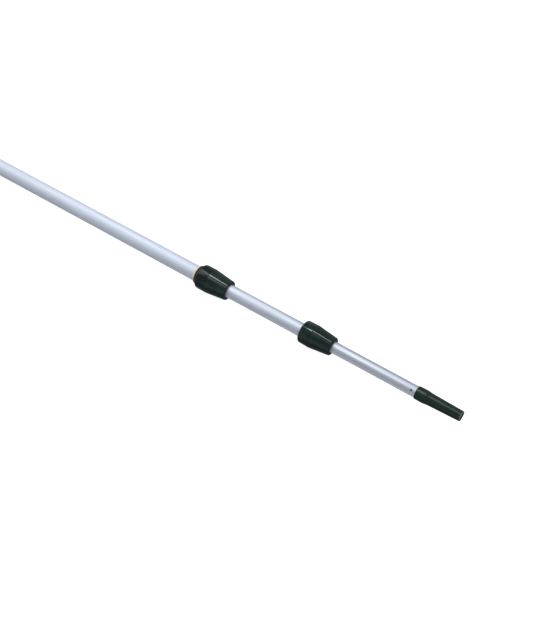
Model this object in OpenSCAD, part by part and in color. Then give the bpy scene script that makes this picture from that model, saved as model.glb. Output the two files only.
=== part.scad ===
// Three-section telescopic pole with two twist-lock collars and a tapered tool tip.
// The pole lies level along X with its tip towards +X, and its lowest edges touch Z = 0.

/* [Tubes] */
// Outside diameter of the outer tube
outer_tube_d = 30; // [29.6:0.1:30.4]
// Outside diameter of the middle tube
middle_tube_d = 25.7; // [25.4:0.1:25.9]
// Outside diameter of the inner tube
inner_tube_d = 21.8; // [21.4:0.1:22]
// Wall thickness of every tube
tube_wall = 1.5; // [1.3:0.1:1.6]
// Length of the outer tube
outer_tube_l = 1250; // [1240:10:1500]
// Length of the middle tube
middle_tube_l = 1270; // [1100:10:1270]
// Length of the inner tube
inner_tube_l = 1250; // [1000:10:1250]

/* [Extension] */
// Middle tube left showing between the two collars
middle_shown = 161.5; // [140:0.5:200]
// Inner tube left showing between the front collar and the tip
inner_shown = 170.7; // [140:0.1:200]

/* [Rear collar] */
// Diameter of the fixed collar body
rear_body_d = 47.2; // [46:0.2:48]
// Length of the fixed body, from its rear face to the seam
rear_body_l = 27.4; // [26:0.1:32]
// Length of the sloped rear edge
rear_edge_l = 7.5; // [5:0.5:9]
// Diameter of the body's rear face
rear_face_d = 33; // [32.4:0.2:36]
// Length of the twist nut, from the seam to its nose
rear_nut_l = 42.4; // [42:0.2:48]
// Diameter where the nut's cone ends
rear_cone_d = 38.6; // [38:0.2:40]
// Diameter of the nut's flat nose
rear_nose_d = 35.4; // [33:0.2:36]

/* [Front collar] */
// Diameter of the fixed collar body
front_body_d = 43.8; // [42:0.2:44]
// Length of the fixed body, from its rear face to the seam
front_body_l = 23.2; // [22:0.1:28]
// Length of the rounded rear edge
front_edge_l = 5.6; // [4:0.2:7]
// Diameter of the body's rear face
front_face_d = 28; // [27.4:0.2:31]
// Length of the twist nut, from the seam to its nose
front_nut_l = 42.1; // [41:0.1:46]
// Diameter where the nut's cone ends
front_cone_d = 35.2; // [34:0.2:36]
// Diameter of the nut's flat nose
front_nose_d = 30.6; // [29:0.2:32]

/* [Collar grip] */
// Sloped facets round each fixed body
facet_count = 12; // [10:1:14]
// Slope of each facet, in degrees
facet_slope = 2.4; // [1.5:0.1:3.5]
// Shallow flutes round each twist nut
flute_count = 18; // [16:2:20]
// Radius of a flute's own round
flute_r = 20; // [15:1:40]
// Depth of a flute
flute_depth = 0.22; // [0.15:0.01:0.5]

/* [Tip] */
// Length of the tip, from its base to its end
tip_l = 88.3; // [80:0.1:95]
// Diameter of the tip's base band
tip_base_d = 24.8; // [24.4:0.2:25.2]
// Diameter where the taper starts
tip_taper_d = 22.4; // [21.4:0.2:23]
// Diameter at the tip's end
tip_end_d = 18.8; // [17.8:0.1:19.4]
// Diameter of the bore that takes a tool's locking screw
tool_bore_d = 8; // [6:0.5:9]
// Depth of that bore, past its countersink
tool_bore_l = 40; // [30:1:40]

/* [Butt] */
// Distance across the butt cap's flats
butt_flats = 34.6; // [34.4:0.2:36]
// Length of tube that the butt cap covers
butt_grip_l = 42; // [30:1:60]

/* [Hidden] */
$fn = 96;

// Clearances and small details
fit_gap = 0.1;          // running fit on the radius
seam_gap = 0.4;         // open joint between a collar body and its nut
end_gap = 0.3;          // axial space between neighbours that move
nose_gap = 0.45;        // radial space between a nut's nose and the tube in it
cut = 1;                // how far a cutting shape runs past a face
pin_r = 1.25;           // locking pins under the collars
rivet_r = 1.5;          // pins through a tube's wall into a bush or the tip

// Radii of the tubes
outer_r = outer_tube_d / 2;
middle_r = middle_tube_d / 2;
inner_r = inner_tube_d / 2;
outer_bore_r = outer_r - tube_wall;
middle_bore_r = middle_r - tube_wall;
inner_bore_r = inner_r - tube_wall;

// Layers of a collar, outwards from the tube that it is fixed to
housing_wall = 1.0;     // from the tube's outside to the collet's seat
sleeve_wall = 1.9;      // from the collet's seat to the thread's root
thread_depth = 0.7;
thread_pitch = 3;
wedge_wall = 1.0;       // how far the wedge ring stands out past the collet
function housing_r(tube_r) = tube_r + housing_wall;
function thread_root_r(tube_r) = housing_r(tube_r) + sleeve_wall;
function thread_crest_r(tube_r) = thread_root_r(tube_r) + thread_depth;
function wedge_r(tube_r) = housing_r(tube_r) + wedge_wall;

// Plan of a collar along the pole, from the seam
tube_seat = 8;          // the tube's end
pin_x = 4;              // the locking pins
nose_wall = 4.4;        // thickness of a nut's nose
sleeve_back = 19.6;     // from a nut's nose back to the threaded sleeve's end
wedge_back = 16.8;      // from a nut's nose back to the wedge ring's rear face
finger_slot_l = 8;      // how far the collet's slots run back into the sleeve
finger_slot_w = 1.5;
finger_wall = 1.85;     // thickness of a collet finger's tip
nut_proud = 0.3;        // how far a nut's rear rim stands out past its body
nose_round_l = 3.3;
rear_facet_turn = 17;   // angle of a facet's middle, from straight down
front_facet_turn = 27;

// Places along the pole, with the rear collar's seam at 0
rear_seam = 0;
front_seam = rear_nut_l + middle_shown + front_body_l;
tip_base = front_seam + front_nut_l + inner_shown;
tip_end = tip_base + tip_l;
outer_front = rear_seam + tube_seat;
outer_rear = outer_front - outer_tube_l;
middle_front = front_seam + tube_seat;
middle_rear = middle_front - middle_tube_l;
inner_front = tip_base;
inner_rear = inner_front - inner_tube_l;
butt_flange_l = 3;
butt_wall = 5;
butt_end = outer_rear - butt_flange_l - butt_wall;
ring_l = 5.2;           // the coloured ring behind the rear collar

// Guide bushes and stop rings
bush_flange_l = 8;
bush_spigot_l = 25;
bush_pin_x = 12;
bush_wall = 4;
stop_ring_l = 12;
stop_ring_x = 108;      // from a tube's rear end to its stop ring
plug_l = 30;
plug_pin_x = 15;

// Tip
tip_band_l = 18;
tip_step_l = 7;
tip_round = 2.6;
tip_chamfer = 1;
shank_l = 40;
shank_bore_r = 6.5;
shank_bore_end = 28;
countersink_l = 2;
tip_pin_x = 8;          // from the tip's base back to its pins
tip_pin_turn = 40.7;
tip_pin_proud = 0.12;

// The pole rests on the nut's rear rim: on the two edges of the flute that faces down.
nut_rim_r = rear_body_d / 2 + nut_proud;
flute_axis_r = nut_rim_r - flute_depth + flute_r;
flute_half = acos((nut_rim_r ^ 2 + flute_axis_r ^ 2 - flute_r ^ 2) / (2 * nut_rim_r * flute_axis_r));
axis_h = nut_rim_r * cos(flute_half);
mid_x = (butt_end + tip_end) / 2;

tube_colour = [0.80, 0.83, 0.88];
collar_colour = [0.10, 0.15, 0.13];
ring_colour = [0.72, 0.52, 0.34];
bush_colour = [0.88, 0.87, 0.82];
pin_colour = [0.55, 0.56, 0.58];
rubber_colour = [0.12, 0.13, 0.13];

// Points of a quarter ellipse, from angle 0 to 90 degrees
function quarter(cx, cy, rx, ry, from, to, steps = 8) =
    [for (i = [0:steps]) let (a = from + (to - from) * i / steps) [cx + rx * cos(a), cy + ry * sin(a)]];

// Puts a shape turned about Z on the pole's axis, its base at x and its +X side facing down
module on_pole(x) {
    translate([x - mid_x, 0, axis_h]) rotate([0, 90, 0]) children();
}

// A plain round bore or bar along the pole
module rod(r, from, to) {
    translate([0, 0, from]) cylinder(r = r, h = to - from);
}

// Pins that stand across the pole's axis, evenly round it
module radial_pins(r, inner, outer, x, count = 2, turn = 90) {
    for (i = [0:count - 1]) {
        rotate([0, 0, turn + i * 360 / count]) translate([inner, 0, x])
            rotate([0, 90, 0]) cylinder(r = r, h = outer - inner, $fn = 32);
    }
}

// A tube with the holes that its pins need at each end
module tube(r, length, pins_rear, pins_front, rear_turn = 90, front_turn = 90, front_r = pin_r) {
    difference() {
        rod(r, 0, length);
        rod(r - tube_wall, -cut, length + cut);
        radial_pins(rivet_r, 0, r + cut, pins_rear, turn = rear_turn);
        radial_pins(front_r, 0, r + cut, length - pins_front, turn = front_turn);
    }
}

// Sloped planes that cut the fixed body down towards its rear face
module facets(body_r, body_l, turn) {
    for (i = [0:facet_count - 1]) {
        rotate([0, 0, turn + i * 360 / facet_count]) translate([body_r, 0, 0])
            rotate([0, facet_slope, 0]) translate([0, -body_r, -2 * body_l])
                cube([body_r, 2 * body_r, 2 * body_l]);
    }
}

// Fixed collar body: faceted shell behind the seam, threaded sleeve in front of it
module collar_body(tube_r, body_r, body_l, edge, nut_l, facet_turn) {
    crest_r = thread_crest_r(tube_r);
    sleeve_l = nut_l - sleeve_back;
    difference() {
        union() {
            difference() {
                rotate_extrude() polygon(concat([[0, -body_l]], edge, [[body_r, 0], [0, 0]]));
                facets(body_r, body_l, facet_turn);
            }
            rod(thread_root_r(tube_r), -cut, sleeve_l);
            for (x = [thread_pitch:thread_pitch:sleeve_l - 2]) rod(crest_r, x, x + thread_pitch / 2);
        }
        rod(tube_r, -body_l - cut, tube_seat);
        rod(housing_r(tube_r), tube_seat - 0.01, sleeve_l + cut);
        radial_pins(pin_r, 0, crest_r + cut, pin_x);
    }
}

// Split collet: a ring seated in the sleeve, with fingers that grip the sliding tube
module collet(tube_r, slide_r, nut_l) {
    seat_r = housing_r(tube_r);
    bore_r = slide_r + fit_gap;
    rear = tube_seat + end_gap;
    shoulder = nut_l - sleeve_back + 1;
    front = nut_l - nose_wall - end_gap - 0.4;
    slots_from = nut_l - sleeve_back - finger_slot_l;
    difference() {
        rotate_extrude() polygon([[bore_r, rear], [seat_r, rear], [seat_r, shoulder],
            [bore_r + finger_wall, front], [bore_r, front]]);
        for (a = [30:60:150]) rotate([0, 0, a]) translate([-seat_r - cut, -finger_slot_w / 2, slots_from])
            cube([2 * seat_r + 2 * cut, finger_slot_w, nut_l]);
    }
}

// Wedge ring: slides over the collet's fingers inside the nut and squeezes them shut
module wedge_ring(tube_r, slide_r, nut_l) {
    rear = nut_l - wedge_back;
    front = nut_l - nose_wall - end_gap;
    rear_bore_r = housing_r(tube_r) + 0.4;
    front_bore_r = slide_r + fit_gap + finger_wall + 0.4;
    rotate_extrude() polygon([[rear_bore_r, rear], [wedge_r(tube_r), rear],
        [wedge_r(tube_r), front], [front_bore_r, front]]);
}

// Grooves along a nut's cone, one of them facing down
module flutes(rim_r, cone_r, cone_l, nut_l) {
    slope = atan((rim_r - cone_r) / cone_l);
    for (i = [0:flute_count - 1]) {
        rotate([0, 0, i * 360 / flute_count]) translate([rim_r - flute_depth + flute_r, 0, seam_gap])
            rotate([0, -slope, 0]) translate([0, 0, -2 * cut]) cylinder(r = flute_r, h = nut_l + 4 * cut);
    }
}

// Twist nut: fluted cone outside, thread bore and wedge pocket inside
module lock_nut(tube_r, slide_r, body_r, cone_r, nose_r, nut_l) {
    rim_r = body_r + nut_proud;
    cone_l = nut_l - nose_round_l;
    bore_r = thread_crest_r(tube_r) + fit_gap;
    pocket_r = wedge_r(tube_r) + fit_gap;
    hole_r = slide_r + nose_gap;
    step = nut_l - sleeve_back + 0.5;
    nose_round = quarter(nose_r, cone_l, cone_r - nose_r, nose_round_l, 0, 90);
    difference() {
        rotate_extrude() polygon(concat(
            [[bore_r, seam_gap], [rim_r - 0.4, seam_gap], [rim_r, seam_gap + 0.4]], nose_round,
            [[hole_r + 0.6, nut_l], [hole_r, nut_l - 0.6], [hole_r, nut_l - nose_wall],
             [pocket_r, nut_l - nose_wall], [pocket_r, step + 1.6], [bore_r, step]]));
        flutes(rim_r, cone_r, cone_l, nut_l);
    }
}

// Guide bush: a flange that runs in the tube outside, on a spigot in the end of its own tube
module guide_bush(bore_r, own_bore_r) {
    difference() {
        union() {
            rod(bore_r - fit_gap, -bush_flange_l, 0);
            rod(own_bore_r, -cut, bush_spigot_l);
        }
        rod(own_bore_r - bush_wall, -bush_flange_l - cut, bush_spigot_l + cut);
        radial_pins(rivet_r, 0, own_bore_r + cut, bush_pin_x);
    }
}

// Stop ring: meets the collet's rear face when its tube is fully out
module stop_ring(bore_r, own_r) {
    difference() {
        rod(bore_r - fit_gap, 0, stop_ring_l);
        rod(own_r, -cut, stop_ring_l + cut);
    }
}

module outer_tube() {
    color(tube_colour) on_pole(outer_rear)
        tube(outer_r, outer_tube_l, plug_pin_x, tube_seat - pin_x);
}

module butt_plug() {
    color(rubber_colour) on_pole(outer_rear) difference() {
        union() {
            rod(outer_r, -butt_flange_l, 0);
            rod(outer_bore_r, -cut, plug_l);
        }
        rod(outer_bore_r - bush_wall, 0, plug_l + cut);
        radial_pins(rivet_r, 0, outer_r, plug_pin_x);
    }
}

// Rubber cap with eight flats, which keep the pole from rolling
module butt_cap() {
    length = butt_wall + butt_flange_l + butt_grip_l;
    corner_r = butt_flats / 2 * 1.06;
    groove_r = butt_flats / 2 - 0.7;
    color(rubber_colour) on_pole(butt_end) difference() {
        intersection() {
            rotate_extrude() polygon(concat([[0, 0]], quarter(corner_r - 3, 3, 3, 3, -90, 0),
                quarter(corner_r - 1.5, length - 1.5, 1.5, 1.5, 0, 90), [[0, length]]));
            rotate([0, 0, 22.5]) cylinder(r = butt_flats / 2 / cos(22.5), h = length, $fn = 8);
        }
        rod(outer_r, butt_wall, length + cut);
        for (x = [14:6:32]) {
            difference() {
                rod(corner_r + cut, x, x + 2);
                rod(groove_r, x - cut, x + 2 + cut);
            }
        }
    }
}

module butt_pins() {
    color(pin_colour) on_pole(outer_rear)
        radial_pins(rivet_r, outer_bore_r - bush_wall + 0.5, outer_r - 0.05, plug_pin_x);
}

module rear_collar_body() {
    body_r = rear_body_d / 2;
    edge = [[rear_face_d / 2, -rear_body_l], [body_r - 0.4, -rear_body_l + rear_edge_l - 0.2],
        [body_r, -rear_body_l + rear_edge_l + 0.6]];
    color(collar_colour) on_pole(rear_seam)
        collar_body(outer_r, body_r, rear_body_l, edge, rear_nut_l, rear_facet_turn);
}

// Coloured ring that flares out to meet the rear collar's rear face
module rear_collar_ring() {
    flare_r = rear_face_d / 2 + 1.5;
    color(ring_colour) on_pole(rear_seam - rear_body_l) rotate_extrude()
        polygon(concat([[outer_r, 0], [outer_r, -ring_l]],
            quarter(flare_r, -ring_l, outer_r + 0.7 - flare_r, ring_l - 1.2, 0, 90), [[flare_r, 0]]));
}

module rear_collar_pins() {
    color(pin_colour) on_pole(rear_seam)
        radial_pins(pin_r, outer_bore_r + fit_gap, thread_root_r(outer_r) - 0.1, pin_x);
}

module rear_collet() {
    color(bush_colour) on_pole(rear_seam) collet(outer_r, middle_r, rear_nut_l);
}

module rear_wedge_ring() {
    color(bush_colour) on_pole(rear_seam) wedge_ring(outer_r, middle_r, rear_nut_l);
}

module rear_lock_nut() {
    color(collar_colour) on_pole(rear_seam)
        lock_nut(outer_r, middle_r, rear_body_d / 2, rear_cone_d / 2, rear_nose_d / 2, rear_nut_l);
}

module middle_tube() {
    color(tube_colour) on_pole(middle_rear)
        tube(middle_r, middle_tube_l, bush_pin_x, tube_seat - pin_x);
}

module middle_guide_bush() {
    color(bush_colour) on_pole(middle_rear) guide_bush(outer_bore_r, middle_bore_r);
}

module middle_stop_ring() {
    color(bush_colour) on_pole(middle_rear + stop_ring_x) stop_ring(outer_bore_r, middle_r);
}

module middle_bush_pins() {
    color(pin_colour) on_pole(middle_rear)
        radial_pins(rivet_r, middle_bore_r - bush_wall + 0.5, middle_r - 0.05, bush_pin_x);
}

module front_collar_body() {
    body_r = front_body_d / 2;
    face_r = front_face_d / 2;
    edge = quarter(face_r, front_edge_l - front_body_l, body_r - face_r, front_edge_l, -90, 0);
    color(collar_colour) on_pole(front_seam)
        collar_body(middle_r, body_r, front_body_l, edge, front_nut_l, front_facet_turn);
}

module front_collar_pins() {
    color(pin_colour) on_pole(front_seam)
        radial_pins(pin_r, middle_bore_r + fit_gap, thread_root_r(middle_r) - 0.1, pin_x);
}

module front_collet() {
    color(bush_colour) on_pole(front_seam) collet(middle_r, inner_r, front_nut_l);
}

module front_wedge_ring() {
    color(bush_colour) on_pole(front_seam) wedge_ring(middle_r, inner_r, front_nut_l);
}

module front_lock_nut() {
    color(collar_colour) on_pole(front_seam)
        lock_nut(middle_r, inner_r, front_body_d / 2, front_cone_d / 2, front_nose_d / 2, front_nut_l);
}

module inner_tube() {
    color(tube_colour) on_pole(inner_rear)
        tube(inner_r, inner_tube_l, bush_pin_x, tip_pin_x, front_turn = tip_pin_turn, front_r = rivet_r);
}

module inner_guide_bush() {
    color(bush_colour) on_pole(inner_rear) guide_bush(middle_bore_r, inner_bore_r);
}

module inner_stop_ring() {
    color(bush_colour) on_pole(inner_rear + stop_ring_x) stop_ring(middle_bore_r, inner_r);
}

module inner_bush_pins() {
    color(pin_colour) on_pole(inner_rear)
        radial_pins(rivet_r, inner_bore_r - bush_wall + 0.5, inner_r - 0.05, bush_pin_x);
}

// Tapered tip: base band, short step, long taper, and a shank inside the inner tube
module tip_cone() {
    base_r = tip_base_d / 2;
    end_r = tip_end_d / 2;
    bore_r = tool_bore_d / 2;
    bore_end = tip_l - countersink_l - tool_bore_l;
    color(collar_colour) on_pole(tip_base) difference() {
        rotate_extrude() polygon(concat([[0, -shank_l], [inner_bore_r, -shank_l], [inner_bore_r, 0]],
            quarter(base_r - tip_round, tip_round, tip_round, tip_round, -90, 0),
            [[base_r - 0.1, tip_band_l], [tip_taper_d / 2, tip_band_l + tip_step_l],
             [end_r, tip_l - tip_chamfer], [end_r - tip_chamfer, tip_l], [0, tip_l]]));
        rod(shank_bore_r, -shank_l - cut, min(shank_bore_end, bore_end - 5));
        rod(bore_r, bore_end, tip_l + cut);
        translate([0, 0, tip_l - countersink_l])
            cylinder(r1 = bore_r, r2 = bore_r + countersink_l / 2, h = countersink_l + 0.001);
        radial_pins(rivet_r, 0, inner_r, -tip_pin_x, turn = tip_pin_turn);
    }
}

module tip_pins() {
    color(pin_colour) on_pole(tip_base)
        radial_pins(rivet_r, shank_bore_r + 0.3, inner_r + tip_pin_proud, -tip_pin_x, turn = tip_pin_turn);
}

outer_tube();
butt_plug();
butt_cap();
butt_pins();
rear_collar_body();
rear_collar_ring();
rear_collar_pins();
rear_collet();
rear_wedge_ring();
rear_lock_nut();
middle_tube();
middle_guide_bush();
middle_stop_ring();
middle_bush_pins();
front_collar_body();
front_collar_pins();
front_collet();
front_wedge_ring();
front_lock_nut();
inner_tube();
inner_guide_bush();
inner_stop_ring();
inner_bush_pins();
tip_cone();
tip_pins();
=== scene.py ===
"""A three-section telescopic pole with two twist-lock collars, lying on a pale studio floor."""

import math

import bmesh
import bpy
from mathutils import Matrix, Vector


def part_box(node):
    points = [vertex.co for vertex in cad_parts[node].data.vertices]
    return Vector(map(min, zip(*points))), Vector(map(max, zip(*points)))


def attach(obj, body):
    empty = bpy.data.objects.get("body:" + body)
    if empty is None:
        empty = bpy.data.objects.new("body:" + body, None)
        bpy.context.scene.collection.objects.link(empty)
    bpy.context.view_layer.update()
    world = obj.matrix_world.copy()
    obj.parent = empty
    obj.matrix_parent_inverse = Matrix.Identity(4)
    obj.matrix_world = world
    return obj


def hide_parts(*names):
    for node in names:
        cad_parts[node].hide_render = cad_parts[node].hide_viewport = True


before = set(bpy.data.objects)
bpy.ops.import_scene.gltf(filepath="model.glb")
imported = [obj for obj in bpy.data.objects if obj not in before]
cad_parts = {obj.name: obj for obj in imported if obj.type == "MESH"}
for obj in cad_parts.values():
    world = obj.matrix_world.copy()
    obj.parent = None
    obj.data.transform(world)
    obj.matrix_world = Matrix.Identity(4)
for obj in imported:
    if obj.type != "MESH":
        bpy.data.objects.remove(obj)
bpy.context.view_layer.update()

MM = 0.001

# ---- The view: degrees and metres ----
VIEW_AZIMUTH = 34.20
VIEW_ELEVATION = 52.40
VIEW_DISTANCE = 2.0926
VIEW_LENS_MM = 66.9
VIEW_CLIP = (0.01, 50)
AIM_PAST_SEAM = 0.1334    # along the pole, from the rear collar's seam
AIM_ASIDE = 0.0072        # how far the view's centre passes above and behind the pole

# ---- The studio: metres and radiance ----
KEY_X, KEY_Y, KEY_Z = -0.10, 0.17, 1.45
KEY_LENGTH, KEY_WIDTH = 1.6, 0.38
KEY_RADIANCE = 14.0
SHELL_SHARE = 0.38        # of the key's radiance, on the rear collar's faceted shell
NUT_EXTRA = 0.9           # more of the key's radiance, on the rear nut
BOUNCE = 1.1              # a low light on the tubes, from the front and below
BOUNCE_PATH = (0.0, 0.64, 0.77)
BOUNCE_SPREAD = math.radians(70)
FLOOR_WASH = 2.8
DOME = (0.46, 0.47, 0.49)
UNDERSIDE = (0.30, 0.31, 0.32)
HORIZON = (1.0, 1.0, 1.0)
TONE_GAMMA = 0.75
HORIZON_BAND = (0.02, 0.40)      # sine of the elevation over which HORIZON turns into DOME
UNDER_BAND = (-0.02, -0.30)      # and over which it turns into UNDERSIDE
FLOOR_SIZE = 60
FLOOR_TONES = ((0.89, 0.89, 0.89), (0.91, 0.91, 0.91))

# ---- Tubes, as the CAD has them ----
OUTER_R = 15.0 * MM
MIDDLE_R = 12.85 * MM
TUBE_WALL = 1.5 * MM
TUBE_SEAT = 8 * MM               # how far a tube reaches into its collar, past the seam

# ---- Collars, as the CAD has them ----
FACETS = 12
FACET_SLOPE = math.radians(2.4)
CHAMFERED_REAR = (16.5 * MM, 7.5 * MM)    # the rear face's radius, and the length of its edge
ROUNDED_REAR = (14.0 * MM, 5.6 * MM)
SEAM_GAP = 0.4 * MM
HOUSING_WALL = 1.0 * MM          # from the tube's outside to the collet's seat
SLEEVE_WALL = 1.9 * MM           # from the collet's seat to the thread's root
THREAD_PITCH = 3 * MM
THREAD_DEPTH = 0.7 * MM
THREAD_FLANK = 0.3 * MM
THREAD_CREST = 1.1 * MM          # length of a thread ring's flat top
WEDGE_WALL = 1.0 * MM
FIT_GAP = 0.1 * MM               # between the nut and what turns or slides in it
FLUTES = 18
FLUTE_R = 20 * MM
FLUTE_DEPTH = 0.22 * MM
NOSE_ROUND = 3.3 * MM
NOSE_WALL = 4.4 * MM
NOSE_GAP = 0.45 * MM             # between the nut's nose and the tube that slides in it
POCKET_LENGTH = 19.1 * MM        # from the nose back to the thread bore
POCKET_STEP = 1.6 * MM           # length of the slope between the two bores
RING_LIP = 0.7 * MM              # thickness of the tan ring's thin rear end

# ---- Tip, as the CAD has it ----
SHANK_LENGTH = 40 * MM           # the part inside the inner tube
SHANK_R = 9.4 * MM
SHANK_BORE_R = 6.5 * MM
SHANK_BORE_PAST_BASE = 28 * MM
TIP_BAND = 18 * MM
TIP_STEP = 7 * MM
TIP_TAPER_R = 11.2 * MM          # where the long taper starts
TIP_END_R = 9.4 * MM
TIP_BORE_R = 4.0 * MM
TIP_BORE_DEPTH = 42 * MM
PIN_BEFORE_TIP = 8 * MM
PIN_ANGLES = [math.radians(a) for a in (40.7, 220.7)]

# ---- Butt cap, as the CAD has it ----
CAP_FLATS = 8
CAP_CORNER_SHARE = 1.06          # radius between the flats, as a share of the radius at a flat
CAP_FLOOR = 5 * MM
CAP_ROUND = 2.6 * MM
GROOVES = 4
GROOVE_START, GROOVE_PITCH = 14 * MM, 6 * MM
GROOVE_WIDTH, GROOVE_DEPTH = 2 * MM, 0.7 * MM

# ---- Meshes: points round the axis, and the longest stretch along an outline ----
TUBE_SEGMENTS = 256
RING_SEGMENTS = 192
TIP_SEGMENTS = 160
PER_FACET = 30
PER_FLUTE = 20
COLLAR_SPACING, RING_SPACING = 1.2 * MM, 1.0 * MM
TIP_SPACING, CAP_SPACING = 2.5 * MM, 1.5 * MM
TOUCHING = 1e-6                  # nearer than this counts as the same place

# ---- Finish: edges, dents, rubbed places and the tip rim's painted highlight ----
FINE_EDGE, SMALL_EDGE, FULL_EDGE = 0.2 * MM, 0.3 * MM, 0.5 * MM
SOFT_EDGE = 0.35 * MM            # how wide a ridge between two cuts is rounded
ON_AXIS = 0.0001 * MM            # as good as on the axis: most points round it are merged
DENT_DEPTH = 0.45 * MM
DENT_REACH = 2.0 * MM            # where a dent's depth has fallen to 1/e
DENT_STEP = 0.5 * MM             # between the rings of points that carry a dent
DENT_RINGS = 10                  # of those rings, on each side of the dent
FACET_WEAR, SEAM_WEAR = 0.8, 0.6               # how rubbed a facet's border and the seam are
FACET_WEAR_WIDTH, SEAM_WEAR_WIDTH = 1.0 * MM, 0.9 * MM
LAND_WEAR_WIDTH, LAND_WEAR_DEPTH = 1.3 * MM, 0.5 * MM    # the same, on the lands between flutes
RIM_HIGHLIGHT_WIDTH = 1.8 * MM                      # width of the pale band at the tip's end, a painted highlight and not wear

# ---- Finish: materials ----
SHEEN = 0.5                      # how strongly the moulded plastic mirrors the lamps
NOISE_LOW, NOISE_HIGH = 0.3, 0.7               # most of a noise's values lie between these
ALUMINIUM_DEEP, ALUMINIUM_LIGHT = (0.62, 0.65, 0.70), (0.68, 0.71, 0.76)
ALUMINIUM_DULL, ALUMINIUM_SCRATCH = (0.56, 0.59, 0.64), (0.76, 0.79, 0.83)


def axis_height():
    """Height of the pole's axis above the floor."""
    low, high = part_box("outer_tube")
    return (low.z + high.z) / 2


def half_width(low, high):
    """Radius of a round piece, from its box."""
    return (high.y - low.y) / 2


AXIS_Z = axis_height()


# ---------------------------------------------------------------- outlines and turned meshes

def filleted(corners, steps=5):
    """A closed outline of (x, r, rounding) corners, with each corner rounded over that length."""
    points = []
    for i, (x, r, rounding) in enumerate(corners):
        here = Vector((x, r))
        before = Vector(corners[i - 1][:2])
        after = Vector(corners[(i + 1) % len(corners)][:2])
        if rounding <= 0:
            points.append(here)
            continue
        back = min(rounding, 0.48 * (before - here).length)
        on = min(rounding, 0.48 * (after - here).length)
        start = here + (before - here).normalized() * back
        end = here + (after - here).normalized() * on
        for k in range(steps + 1):
            t = k / steps
            points.append(start * (1 - t) ** 2 + here * 2 * t * (1 - t) + end * t * t)
    return points


def spaced(points, step):
    """The same closed outline with no stretch longer than step."""
    finer = []
    for i, here in enumerate(points):
        after = points[(i + 1) % len(points)]
        parts = max(1, math.ceil((after - here).length / step))
        finer += [here.lerp(after, k / parts) for k in range(parts)]
    return finer


def ellipse_arc(cx, cr, rx, rr, start, end, steps=10):
    """Unrounded corners along an ellipse's arc, from start to end degrees; 0 points outwards."""
    angles = [math.radians(start + (end - start) * k / steps) for k in range(steps + 1)]
    return [(cx + rx * math.sin(a), cr + rr * math.cos(a), 0) for a in angles]


def soft_min(a, b, width):
    """The smaller of two values, with a rounded change from one to the other."""
    closeness = max(width - abs(a - b), 0) / width
    return min(a, b) - closeness * closeness * width / 4


def within(angle, period):
    """An angle's distance from the nearest multiple of period, with its sign."""
    return (angle + period / 2) % period - period / 2


def near(distance, width):
    """1 at no distance, falling evenly to 0 at width."""
    return max(0, 1 - distance / width)


def turned(name, outline, segments, shape=None):
    """Turns a closed outline about the pole's axis; shape(x, r, angle) may change the radius.

    Angle 0 faces down, and angles grow towards +Y.
    """
    rings = len(outline)
    vertices = []
    for point in outline:
        for j in range(segments):
            angle = 2 * math.pi * j / segments
            r = shape(point.x, point.y, angle) if shape else point.y
            vertices.append((point.x, r * math.sin(angle), AXIS_Z - r * math.cos(angle)))
    faces = []
    for i in range(rings):
        i2 = (i + 1) % rings
        for j in range(segments):
            j2 = (j + 1) % segments
            here, after = i * segments, i2 * segments
            faces.append((here + j, here + j2, after + j2, after + j))
    mesh = bpy.data.meshes.new(name)
    mesh.from_pydata(vertices, [], faces)
    mesh.validate()
    mesh.update()
    piece = bpy.data.objects.new(name, mesh)
    bpy.context.scene.collection.objects.link(piece)
    clean(piece)
    return piece


def clean(piece):
    """Merges points that all but coincide, turns the faces outwards and shades them smooth."""
    work = bmesh.new()
    work.from_mesh(piece.data)
    bmesh.ops.remove_doubles(work, verts=work.verts, dist=1e-7)
    bmesh.ops.dissolve_degenerate(work, dist=1e-8, edges=work.edges)
    bmesh.ops.recalc_face_normals(work, faces=work.faces)
    work.to_mesh(piece.data)
    work.free()
    piece.data.polygons.foreach_set("use_smooth", [True] * len(piece.data.polygons))
    weighted = piece.modifiers.new("weighted normals", "WEIGHTED_NORMAL")
    weighted.weight = 60
    weighted.keep_sharp = True


def finish_piece(piece, material, body, slot, *nodes):
    """Gives a piece its material and its CAD body, and lets it stand for its CAD nodes."""
    piece.data.materials.append(material)
    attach(piece, body)
    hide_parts(*nodes)
    return piece


# ---------------------------------------------------------------- materials

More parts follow.
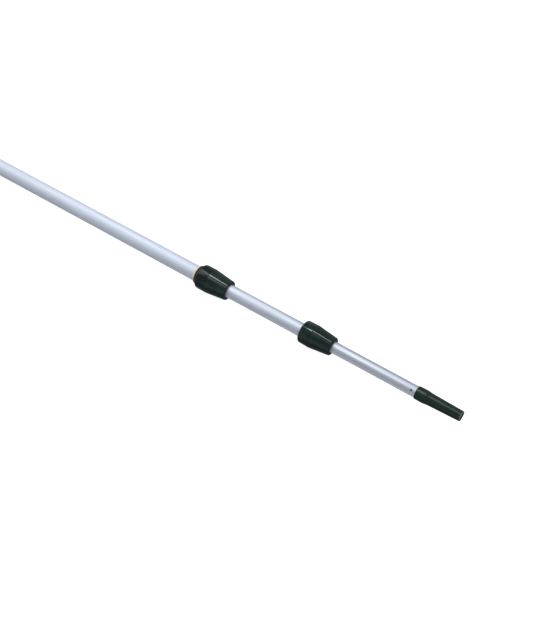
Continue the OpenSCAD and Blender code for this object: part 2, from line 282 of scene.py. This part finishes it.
class Shader:
    """A material's node tree, with short calls for the nodes used here."""

    def __init__(self, name):
        self.material = bpy.data.materials.new(name)
        self.material.use_nodes = True
        self.nodes = self.material.node_tree.nodes
        self.links = self.material.node_tree.links
        self.surface = self.nodes["Principled BSDF"]
        self.place = self.nodes.new("ShaderNodeTexCoord").outputs["Object"]

    def set(self, **values):
        for socket, value in values.items():
            self.surface.inputs[socket.replace("_", " ")].default_value = value
        return self

    def feed(self, socket, output):
        self.links.new(output, self.surface.inputs[socket])
        return self

    def stretched(self, x, y, z):
        """Object coordinates scaled by axis."""
        mapping = self.nodes.new("ShaderNodeMapping")
        mapping.inputs["Scale"].default_value = (x, y, z)
        self.links.new(self.place, mapping.inputs["Vector"])
        return mapping.outputs["Vector"]

    def noise(self, vector, scale=1.0, detail=4.0, roughness=0.55):
        node = self.nodes.new("ShaderNodeTexNoise")
        node.inputs["Scale"].default_value = scale
        node.inputs["Detail"].default_value = detail
        node.inputs["Roughness"].default_value = roughness
        self.links.new(vector, node.inputs["Vector"])
        return node.outputs["Fac"]

    def span(self, value, to_low, to_high, low=NOISE_LOW, high=NOISE_HIGH):
        """Maps low..high of a value to to_low..to_high, clamped."""
        node = self.nodes.new("ShaderNodeMapRange")
        self.links.new(value, node.inputs["Value"])
        node.inputs["From Min"].default_value = low
        node.inputs["From Max"].default_value = high
        node.inputs["To Min"].default_value = to_low
        node.inputs["To Max"].default_value = to_high
        return node.outputs["Result"]

    def maths(self, operation, a, b):
        node = self.nodes.new("ShaderNodeMath")
        node.operation = operation
        for socket, value in zip(node.inputs, (a, b)):
            if isinstance(value, (int, float)):
                socket.default_value = value
            else:
                self.links.new(value, socket)
        return node.outputs["Value"]

    def blend(self, amount, a, b):
        """Colour a, or colour b where amount is 1; either may be a node's output."""
        node = self.nodes.new("ShaderNodeMix")
        node.data_type = "RGBA"
        self.links.new(amount, node.inputs["Factor"])
        for socket, colour in zip(node.inputs[6:8], (a, b)):
            if isinstance(colour, tuple):
                socket.default_value = (*colour, 1)
            else:
                self.links.new(colour, socket)
        return node.outputs[2]

    def attribute(self, name):
        node = self.nodes.new("ShaderNodeAttribute")
        node.attribute_name = name
        return node.outputs["Fac"]

    def bump(self, height, strength, distance):
        node = self.nodes.new("ShaderNodeBump")
        node.inputs["Strength"].default_value = strength
        node.inputs["Distance"].default_value = distance
        self.links.new(height, node.inputs["Height"])
        self.feed("Normal", node.outputs["Normal"])
        return self


def anodised_aluminium(name, seed, rough, shade):
    """Satin anodised drawn tube: lengthwise drawing marks, faint clouding and sliding scratches."""
    s = Shader(name)
    drawn = s.noise(s.stretched(3, 900 + seed, 900), detail=3)
    fine = s.noise(s.stretched(9, 2600, 2600 + seed), detail=2)
    clouds = s.noise(s.stretched(14, 30, 30 + seed), detail=5)
    scratches = s.noise(s.stretched(5, 1500 + seed, 1500), detail=6, roughness=0.7)
    deep, light, dull, bright = [tuple(shade * c for c in colour) for colour in (
        ALUMINIUM_DEEP, ALUMINIUM_LIGHT, ALUMINIUM_DULL, ALUMINIUM_SCRATCH)]
    tone = s.blend(s.span(clouds, 0, 1), deep, light)
    tone = s.blend(s.span(drawn, 0, 0.5, low=0.35), tone, dull)
    s.feed("Base Color", s.blend(s.span(scratches, 0, 1, low=0.66, high=0.72), tone, bright))
    streaked = s.span(drawn, rough - 0.04, rough + 0.04)
    s.feed("Roughness", s.maths("ADD", streaked, s.span(clouds, -0.02, 0.05)))
    s.bump(s.maths("ADD", drawn, fine), 0.10, 0.02 * MM)
    return s.set(Metallic=1.0).material


def moulded_plastic(name, deep, light, rough, wear_and_highlight_colour):
    """Dark moulded plastic: fine skin texture, faint clouding, and paler ridges: rubbed wear on the
    collars, a painted highlight on the tip's rim.
    """
    s = Shader(name)
    skin = s.noise(s.stretched(1, 1, 1), scale=1800, detail=3)
    clouds = s.noise(s.stretched(1, 1, 1), scale=60, detail=5)
    # Paler ridges: rubbed wear on the collars, and a painted highlight on the tip's rim.
    wear_and_highlight = s.maths("MULTIPLY", s.attribute("ridge"), s.span(clouds, 0.1, 0.9, low=0.38, high=0.66))
    tone = s.blend(s.span(clouds, 0, 1), deep, light)
    s.feed("Base Color", s.blend(wear_and_highlight, tone, wear_and_highlight_colour))
    base = s.span(clouds, rough - 0.03, rough + 0.05)
    s.feed("Roughness", s.maths("ADD", base, s.maths("MULTIPLY", wear_and_highlight, 0.10)))
    s.bump(s.maths("ADD", skin, s.maths("MULTIPLY", clouds, 1.5)), 0.18, 0.05 * MM)
    s.surface.inputs["Specular IOR Level"].default_value = SHEEN
    return s.set(IOR=1.5).material


def plain_plastic(name, deep, light, rough, grain=900):
    """Matte plastic or rubber: two close tones and a fine grain."""
    s = Shader(name)
    clouds = s.noise(s.stretched(1, 1, 1), scale=90, detail=5)
    skin = s.noise(s.stretched(1, 1, 1), scale=grain, detail=4)
    s.feed("Base Color", s.blend(s.span(clouds, 0, 1), deep, light))
    s.feed("Roughness", s.span(skin, rough - 0.05, rough + 0.08))
    s.bump(skin, 0.25, 0.06 * MM)
    return s.material


def turned_steel(name, deep, light, rough):
    """Small steel pins with turning marks."""
    s = Shader(name)
    marks = s.noise(s.stretched(1, 1, 1), scale=2500, detail=3)
    s.feed("Base Color", s.blend(s.span(marks, 0, 1), deep, light))
    s.feed("Roughness", s.span(marks, rough - 0.06, rough + 0.08))
    s.bump(marks, 0.15, 0.02 * MM)
    return s.set(Metallic=1.0).material


COLLAR_GREEN = moulded_plastic("collar_green", deep=(0.010, 0.026, 0.022), light=(0.014, 0.036, 0.031),
                               rough=0.20, wear_and_highlight_colour=(0.030, 0.052, 0.047))
# The tip's pale ridge colour is a painted highlight on the edge of its rim, not wear.
TIP_GREEN = moulded_plastic("tip_green", deep=(0.010, 0.030, 0.023), light=(0.015, 0.040, 0.031),
                            rough=0.40, wear_and_highlight_colour=(0.30, 0.33, 0.32))
RING_TAN = plain_plastic("ring_tan", deep=(0.50, 0.41, 0.33), light=(0.60, 0.51, 0.42), rough=0.50)
ACETAL = plain_plastic("natural_acetal", deep=(0.66, 0.64, 0.57), light=(0.76, 0.74, 0.68), rough=0.45)
BLACK = plain_plastic("black_plastic", deep=(0.012, 0.013, 0.013), light=(0.022, 0.023, 0.023), rough=0.55)
RUBBER = plain_plastic("cap_rubber", deep=(0.014, 0.018, 0.016), light=(0.026, 0.032, 0.029),
                       rough=0.68, grain=1400)
STEEL = turned_steel("pin_steel", deep=(0.42, 0.43, 0.45), light=(0.58, 0.59, 0.60), rough=0.34)
DARK_STEEL = turned_steel("dark_pin_steel", deep=(0.05, 0.055, 0.07), light=(0.10, 0.11, 0.13), rough=0.40)


# ---------------------------------------------------------------- tubes

def tube_piece(node, body, seed, rough, shade, dent_x=None, dent_angles=()):
    """A drawn tube with softened ends, and a dent round the pin at each of the angles at dent_x."""
    low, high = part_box(node)
    r = half_width(low, high)
    inner = r - TUBE_WALL
    outline = filleted([(low.x, r, 0.4 * MM), (high.x, r, 0.4 * MM),
                        (high.x, inner, SMALL_EDGE), (low.x, inner, SMALL_EDGE)])
    if dent_angles:
        around = [Vector((dent_x + k * DENT_STEP, r)) for k in range(-DENT_RINGS, DENT_RINGS + 1)]
        place = next(i for i, p in enumerate(outline) if p.x > dent_x and abs(p.y - r) < TOUCHING)
        outline = outline[:place] + around + outline[place:]

    def dented(x, pr, angle):
        if pr < r - 0.2 * MM:
            return pr
        depth = 0
        for pin_angle in dent_angles:
            across = within(angle - pin_angle, 2 * math.pi) * r
            far = ((x - dent_x) ** 2 + across ** 2) / DENT_REACH ** 2
            depth += DENT_DEPTH * math.exp(-far)
        return pr - depth

    piece = turned("drawn_" + node, outline, TUBE_SEGMENTS, dented if dent_angles else None)
    metal = anodised_aluminium("anodised_" + node, seed, rough, shade)
    return finish_piece(piece, metal, body, "anodised_tube", node)


# ---------------------------------------------------------------- collars

def mark_ridges(piece, height):
    """Stores how far each point stands on a ridge, from height(point), for the rubbed look on the collars
    and the painted highlight on the tip's rim.
    """
    values = piece.data.attributes.new("ridge", "FLOAT", "POINT")
    values.data.foreach_set("value", [height(v.co) for v in piece.data.vertices])


def polar(point):
    """(radius, angle from straight down) of a point about the pole's axis."""
    return math.hypot(point.y, point.z - AXIS_Z), math.atan2(point.y, AXIS_Z - point.z)


def thread_rings(seam, front, root_r):
    """Corners of the thread's plain rings on a collar's sleeve."""
    crest_r = root_r + THREAD_DEPTH
    corners = []
    x = seam + THREAD_PITCH
    while x + THREAD_PITCH < front:
        crest = x + THREAD_FLANK
        crest_end = crest + THREAD_CREST
        corners += [(x, root_r, FINE_EDGE), (crest, crest_r, FINE_EDGE),
                    (crest_end, crest_r, FINE_EDGE), (crest_end + THREAD_FLANK, root_r, FINE_EDGE)]
        x += THREAD_PITCH
    return corners


def collar_body(which, body, tube_node, rounded_rear, facet_turn):
    """The fixed rear part of a collar: faceted shell, threaded sleeve and bores."""
    node = which + "_collar_body"
    low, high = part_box(node)
    nut_low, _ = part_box(which + "_lock_nut")
    tube_low, tube_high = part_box(tube_node)
    rear, front = low.x, high.x
    seam = nut_low.x - SEAM_GAP
    seat = seam + TUBE_SEAT
    r = half_width(low, high)
    tube_r = half_width(tube_low, tube_high)
    housing_r = tube_r + HOUSING_WALL
    root_r = housing_r + SLEEVE_WALL
    face_r, edge = ROUNDED_REAR if rounded_rear else CHAMFERED_REAR
    if rounded_rear:
        rear_edge = [(rear, tube_r, 0), (rear, face_r - SMALL_EDGE, 0)]
        rear_edge += ellipse_arc(rear + edge, face_r, -edge, r - face_r, 90, 0)
    else:
        rear_edge = [(rear, tube_r, 0), (rear, face_r, FULL_EDGE), (rear + edge, r, 1.6 * MM)]
    corners = rear_edge + [(seam, r, FULL_EDGE), (seam, root_r, FINE_EDGE)]
    corners += thread_rings(seam, front, root_r)
    corners += [(front, root_r, SMALL_EDGE), (front, housing_r, FINE_EDGE), (seat, housing_r, 0),
                (seat, tube_r, 0)]
    period = 2 * math.pi / FACETS
    turn = math.radians(facet_turn)

    def plane_r(x, angle):
        return (r + (x - seam) * math.tan(FACET_SLOPE)) / math.cos(within(angle - turn, period))

    def shape(x, pr, angle):
        if x > seam - TOUCHING or pr < face_r - 0.4 * MM:
            return pr
        return soft_min(pr, plane_r(x, angle), SOFT_EDGE)

    def ridge(point):
        pr, angle = polar(point)
        if pr < root_r or point.x > seam:
            return 0
        to_border = (period / 2 - abs(within(angle - turn, period))) * pr
        at_border = near(to_border, FACET_WEAR_WIDTH) * FACET_WEAR
        at_seam = near(seam - point.x, SEAM_WEAR_WIDTH) * SEAM_WEAR
        return min(1, max(at_border, at_seam))

    outline = spaced(filleted(corners), COLLAR_SPACING)
    piece = turned(which + "_collar_shell", outline, PER_FACET * FACETS, shape)
    mark_ridges(piece, ridge)
    return finish_piece(piece, COLLAR_GREEN, body, "collar_plastic", node)


def lock_nut(which, body, slide_node, cone_r, nose_r, collar_tube_r):
    """A twist nut: fluted cone outside, thread bore, wedge pocket and nose bore inside."""
    node = which + "_lock_nut"
    low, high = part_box(node)
    slide_low, slide_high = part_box(slide_node)
    back, front = low.x, high.x
    rim_r = half_width(low, high)
    hole_r = half_width(slide_low, slide_high) + NOSE_GAP
    housing_r = collar_tube_r + HOUSING_WALL
    bore_r = housing_r + SLEEVE_WALL + THREAD_DEPTH + FIT_GAP
    pocket_r = housing_r + WEDGE_WALL + FIT_GAP
    cone_end = front - NOSE_ROUND
    slope = (rim_r - cone_r) / (cone_end - back)
    nose_back = front - NOSE_WALL
    step = front - POCKET_LENGTH
    corners = [(back, bore_r, SMALL_EDGE), (back, rim_r, FULL_EDGE), (cone_end - 0.2 * MM, cone_r, 0)]
    corners += ellipse_arc(cone_end, nose_r, NOSE_ROUND, cone_r - nose_r, 0, 90)
    corners += [(front, hole_r, 0.7 * MM), (nose_back, hole_r, 0), (nose_back, pocket_r, 0),
                (step + POCKET_STEP, pocket_r, 0), (step, bore_r, 0)]
    period = 2 * math.pi / FLUTES

    def flute_r(x, angle):
        off = within(angle, period)
        centre = rim_r - FLUTE_DEPTH + FLUTE_R - slope * (x - back)
        return centre * math.cos(off) - math.sqrt(FLUTE_R ** 2 - (centre * math.sin(off)) ** 2)

    def shape(x, pr, angle):
        inside_nose = pr < nose_r - 0.6 * MM
        inside_thread = pr < bore_r + 0.5 * MM and x < step
        if inside_nose or inside_thread:
            return pr
        return soft_min(pr, flute_r(x, angle), SOFT_EDGE)

    def ridge(point):
        pr, angle = polar(point)
        land_r = rim_r - slope * (point.x - back)
        to_land = (period / 2 - abs(within(angle, period))) * pr
        return near(to_land, LAND_WEAR_WIDTH) * near(land_r - pr, LAND_WEAR_DEPTH)

    outline = spaced(filleted(corners), COLLAR_SPACING)
    piece = turned(which + "_twist_nut", outline, PER_FLUTE * FLUTES, shape)
    mark_ridges(piece, ridge)
    return finish_piece(piece, COLLAR_GREEN, body, "collar_plastic", node)


def collar_ring():
    """The tan ring that flares out against the rear collar's rear face."""
    low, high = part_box("rear_collar_ring")
    r = half_width(low, high)
    lip_r = OUTER_R + RING_LIP
    flare = high.x - low.x - 1.4 * MM
    corners = [(low.x, OUTER_R, 0), (low.x, lip_r, 0.25 * MM)]
    corners += ellipse_arc(low.x + 0.2 * MM, r, flare, lip_r - r, 8, 90)
    corners += [(high.x, r, 0.4 * MM), (high.x, OUTER_R, 0)]
    piece = turned("tan_ring", spaced(filleted(corners), RING_SPACING), RING_SEGMENTS)
    return finish_piece(piece, RING_TAN, "outer_section", "ring_plastic", "rear_collar_ring")


# ---------------------------------------------------------------- ends of the pole

def tip():
    """The tapered tool tip: rounded base band, short step, long taper and a bored end."""
    low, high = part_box("tip_cone")
    base_r = half_width(low, high)
    base, end = low.x + SHANK_LENGTH, high.x
    taper = base + TIP_BAND + TIP_STEP
    shank_bore_end = base + SHANK_BORE_PAST_BASE
    bore_end = end - TIP_BORE_DEPTH
    corners = [
        (low.x, SHANK_BORE_R, SMALL_EDGE), (low.x, SHANK_R, FULL_EDGE), (base, SHANK_R, 0),
        (base, base_r - 0.2 * MM, 3.0 * MM), (base + TIP_BAND, base_r - 0.1 * MM, 1.4 * MM),
        (taper, TIP_TAPER_R, 2.5 * MM), (end, TIP_END_R, 1.0 * MM),
        (end, TIP_BORE_R + 1.0 * MM, SMALL_EDGE), (end - 2 * MM, TIP_BORE_R, 0.4 * MM),
        (bore_end, TIP_BORE_R, 0), (bore_end, ON_AXIS, 0),
        (shank_bore_end, ON_AXIS, 0), (shank_bore_end, SHANK_BORE_R, 0)]

    # The pale band at the tip's end is a painted highlight, not wear.
    def ridge(point):
        pr, _ = polar(point)
        return near(end - point.x, RIM_HIGHLIGHT_WIDTH) if pr > 7 * MM else 0

    piece = turned("tool_tip", spaced(filleted(corners, steps=7), TIP_SPACING), TIP_SEGMENTS)
    mark_ridges(piece, ridge)
    return finish_piece(piece, TIP_GREEN, "inner_section", "tip_plastic", "tip_cone")


def butt_cap():
    """The rubber cap with its flats and grip grooves."""
    low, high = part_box("butt_cap")
    back, front = low.x, high.x
    flat_r = (high.z - low.z) / 2
    corner_r = flat_r * CAP_CORNER_SHARE
    groove_r = flat_r - GROOVE_DEPTH
    corners = [(back, ON_AXIS, 0), (back, corner_r, CAP_ROUND)]
    for k in range(GROOVES):
        x = back + GROOVE_START + k * GROOVE_PITCH
        corners += [(x, corner_r, 0.4 * MM), (x, groove_r, SMALL_EDGE),
                    (x + GROOVE_WIDTH, groove_r, SMALL_EDGE), (x + GROOVE_WIDTH, corner_r, 0.4 * MM)]
    corners += [(front, corner_r, 1.2 * MM), (front, OUTER_R, SMALL_EDGE),
                (back + CAP_FLOOR, OUTER_R, 0), (back + CAP_FLOOR, ON_AXIS, 0)]
    period = 2 * math.pi / CAP_FLATS

    def shape(x, pr, angle):
        if pr < OUTER_R + 0.5 * MM:
            return pr
        inset = 0.4 * min(corner_r - pr, CAP_ROUND)
        return soft_min(pr, (flat_r - inset) / math.cos(within(angle, period)), 0.6 * MM)

    outline = spaced(filleted(corners), CAP_SPACING)
    piece = turned("rubber_cap", outline, PER_FACET * CAP_FLATS, shape)
    return finish_piece(piece, RUBBER, "outer_section", "cap_rubber", "butt_cap")


# ---------------------------------------------------------------- CAD nodes that keep their shape

def repaint(material, *nodes):
    """Gives CAD nodes that stay shown a better material."""
    for node in nodes:
        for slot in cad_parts[node].material_slots:
            slot.material = material


# ---------------------------------------------------------------- studio

def camera():
    """The camera, above the pole's -Y side and a little towards its tip, looking down at the collars."""
    azimuth, elevation = math.radians(VIEW_AZIMUTH), math.radians(VIEW_ELEVATION)
    level = math.cos(elevation)
    back = Vector((math.sin(azimuth) * level, -math.cos(azimuth) * level, math.sin(elevation)))
    across = back.cross(Vector((1, 0, 0))).normalized()
    if across.z > 0:
        across = -across
    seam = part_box("rear_lock_nut")[0].x - SEAM_GAP
    aim = Vector((seam + AIM_PAST_SEAM, 0, AXIS_Z)) - across * AIM_ASIDE
    data = bpy.data.cameras.new("view")
    data.lens = VIEW_LENS_MM
    data.clip_start, data.clip_end = VIEW_CLIP
    eye = bpy.data.objects.new("view", data)
    eye.rotation_mode = "QUATERNION"
    eye.rotation_quaternion = (-back).to_track_quat("-Z", "Y")
    eye.location = aim + back * VIEW_DISTANCE
    bpy.context.scene.collection.objects.link(eye)
    bpy.context.scene.camera = eye


def area_light(name, place, target, width, height, radiance, colour):
    """A rectangular lamp, aimed at target, with its long side along the pole."""
    data = bpy.data.lights.new(name, "AREA")
    data.shape = "RECTANGLE"
    data.size, data.size_y = width, height
    data.energy = radiance * math.pi * width * height
    data.color = colour
    lamp = bpy.data.objects.new(name, data)
    back = (Vector(place) - Vector(target)).normalized()
    along = (Vector((1, 0, 0)) - back * back.x).normalized()
    turn = Matrix((along, back.cross(along), back)).transposed()
    lamp.matrix_world = Matrix.Translation(place) @ turn.to_4x4()
    lamp.visible_camera = False
    bpy.context.scene.collection.objects.link(lamp)
    return lamp


def linked(name, objects, state):
    """A collection that a lamp's light linking can use to include or exclude objects."""
    group = bpy.data.collections.new(name)
    for obj in objects:
        group.objects.link(obj)
    for member in group.collection_objects:
        member.light_linking.link_state = state
    return group


def key_strip(name, share, objects, state):
    """A long strip above the pole, at a share of the key's radiance.

    It lights these objects only where state is INCLUDE, and all others where it is EXCLUDE.
    """
    lamp = area_light(name, (KEY_X, KEY_Y, KEY_Z), (KEY_X, 0, AXIS_Z), KEY_LENGTH, KEY_WIDTH,
                      KEY_RADIANCE * share, (1.0, 1.0, 1.0))
    lamp.light_linking.receiver_collection = linked(name + "_on", objects, state)
    return lamp


def sun(name, strength, objects, path, spread, blockers, blocker_state):
    """A distant lamp for some objects only, shining along path; blockers say what shades it."""
    lamp = bpy.data.objects.new(name, bpy.data.lights.new(name, "SUN"))
    lamp.data.energy = strength
    lamp.data.angle = spread
    lamp.rotation_mode = "QUATERNION"
    lamp.rotation_quaternion = Vector(path).to_track_quat("-Z", "Y")
    lamp.light_linking.receiver_collection = linked(name + "_on", objects, "INCLUDE")
    lamp.light_linking.blocker_collection = linked(name + "_shade", blockers, blocker_state)
    bpy.context.scene.collection.objects.link(lamp)


def floor():
    """A large pale floor, which doesn't mirror in the pole."""
    bpy.ops.mesh.primitive_plane_add(size=FLOOR_SIZE)
    ground = bpy.context.object
    ground.name = "studio_floor"
    s = Shader("studio_floor")
    grain = s.noise(s.stretched(1, 1, 1), scale=3, detail=3)
    s.feed("Base Color", s.blend(grain, *FLOOR_TONES))
    s.set(Roughness=0.9)
    s.surface.inputs["Specular IOR Level"].default_value = 0.0
    ground.data.materials.append(s.material)
    ground.visible_glossy = False
    return ground


def surround():
    """A soft grey dome that turns white towards the horizon and grey again below it."""
    world = bpy.data.worlds.new("surround")
    world.use_nodes = True
    nodes, links = world.node_tree.nodes, world.node_tree.links
    split = nodes.new("ShaderNodeSeparateXYZ")
    links.new(nodes.new("ShaderNodeTexCoord").outputs["Generated"], split.inputs[0])

    def turning_to(colour, band):
        """A mix whose second colour takes over, from one height of the band to the other."""
        height = nodes.new("ShaderNodeMapRange")
        height.interpolation_type = "SMOOTHSTEP"
        links.new(split.outputs["Z"], height.inputs["Value"])
        height.inputs["From Min"].default_value, height.inputs["From Max"].default_value = band
        mix = nodes.new("ShaderNodeMix")
        mix.data_type = "RGBA"
        links.new(height.outputs["Result"], mix.inputs["Factor"])
        mix.inputs[7].default_value = (*colour, 1)
        return mix

    above = turning_to(DOME, HORIZON_BAND)
    above.inputs[6].default_value = (*HORIZON, 1)
    below = turning_to(UNDERSIDE, UNDER_BAND)
    links.new(above.outputs[2], below.inputs[6])
    links.new(below.outputs[2], nodes["Background"].inputs["Color"])
    bpy.context.scene.world = world


def studio(tubes, shell, nut):
    """Pale floor, soft surround, a key strip above the pole, a wash on the floor and a low bounce."""
    ground = floor()
    surround()
    key_strip("key_strip", 1.0, [ground, shell], "EXCLUDE")
    key_strip("shell_strip", SHELL_SHARE, [shell], "INCLUDE")
    key_strip("nut_strip", NUT_EXTRA, [nut], "INCLUDE").visible_diffuse = False
    sun("floor_wash", FLOOR_WASH, [ground], path=(0, 0, -1), spread=0.01,
        blockers=[ground], blocker_state="INCLUDE")
    sun("bounce", BOUNCE, tubes, path=BOUNCE_PATH, spread=BOUNCE_SPREAD,
        blockers=[ground], blocker_state="EXCLUDE")
    scene = bpy.context.scene
    scene.view_settings.view_transform = "Standard"
    scene.view_settings.look = "None"
    scene.view_settings.gamma = TONE_GAMMA


camera()
TIP_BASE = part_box("tip_cone")[0].x + SHANK_LENGTH
TUBES = [
    tube_piece("outer_tube", "outer_section", seed=1, rough=0.80, shade=1.0),
    tube_piece("middle_tube", "middle_section", seed=2, rough=0.73, shade=0.93),
    tube_piece("inner_tube", "inner_section", seed=3, rough=0.67, shade=0.87,
               dent_x=TIP_BASE - PIN_BEFORE_TIP, dent_angles=PIN_ANGLES)]
REAR_SHELL = collar_body("rear", "outer_section", "outer_tube", rounded_rear=False, facet_turn=17)
collar_body("front", "middle_section", "middle_tube", rounded_rear=True, facet_turn=27)
REAR_NUT = lock_nut("rear", "rear_nut", "middle_tube",
                    cone_r=19.3 * MM, nose_r=17.7 * MM, collar_tube_r=OUTER_R)
lock_nut("front", "front_nut", "inner_tube",
         cone_r=17.6 * MM, nose_r=15.3 * MM, collar_tube_r=MIDDLE_R)
collar_ring()
tip()
butt_cap()
repaint(STEEL, "butt_pins", "rear_collar_pins", "middle_bush_pins", "front_collar_pins", "inner_bush_pins")
repaint(DARK_STEEL, "tip_pins")
repaint(BLACK, "butt_plug")
repaint(ACETAL, "rear_collet", "rear_wedge_ring", "front_collet", "front_wedge_ring",
        "middle_guide_bush", "middle_stop_ring", "inner_guide_bush", "inner_stop_ring")
studio(TUBES, REAR_SHELL, REAR_NUT)
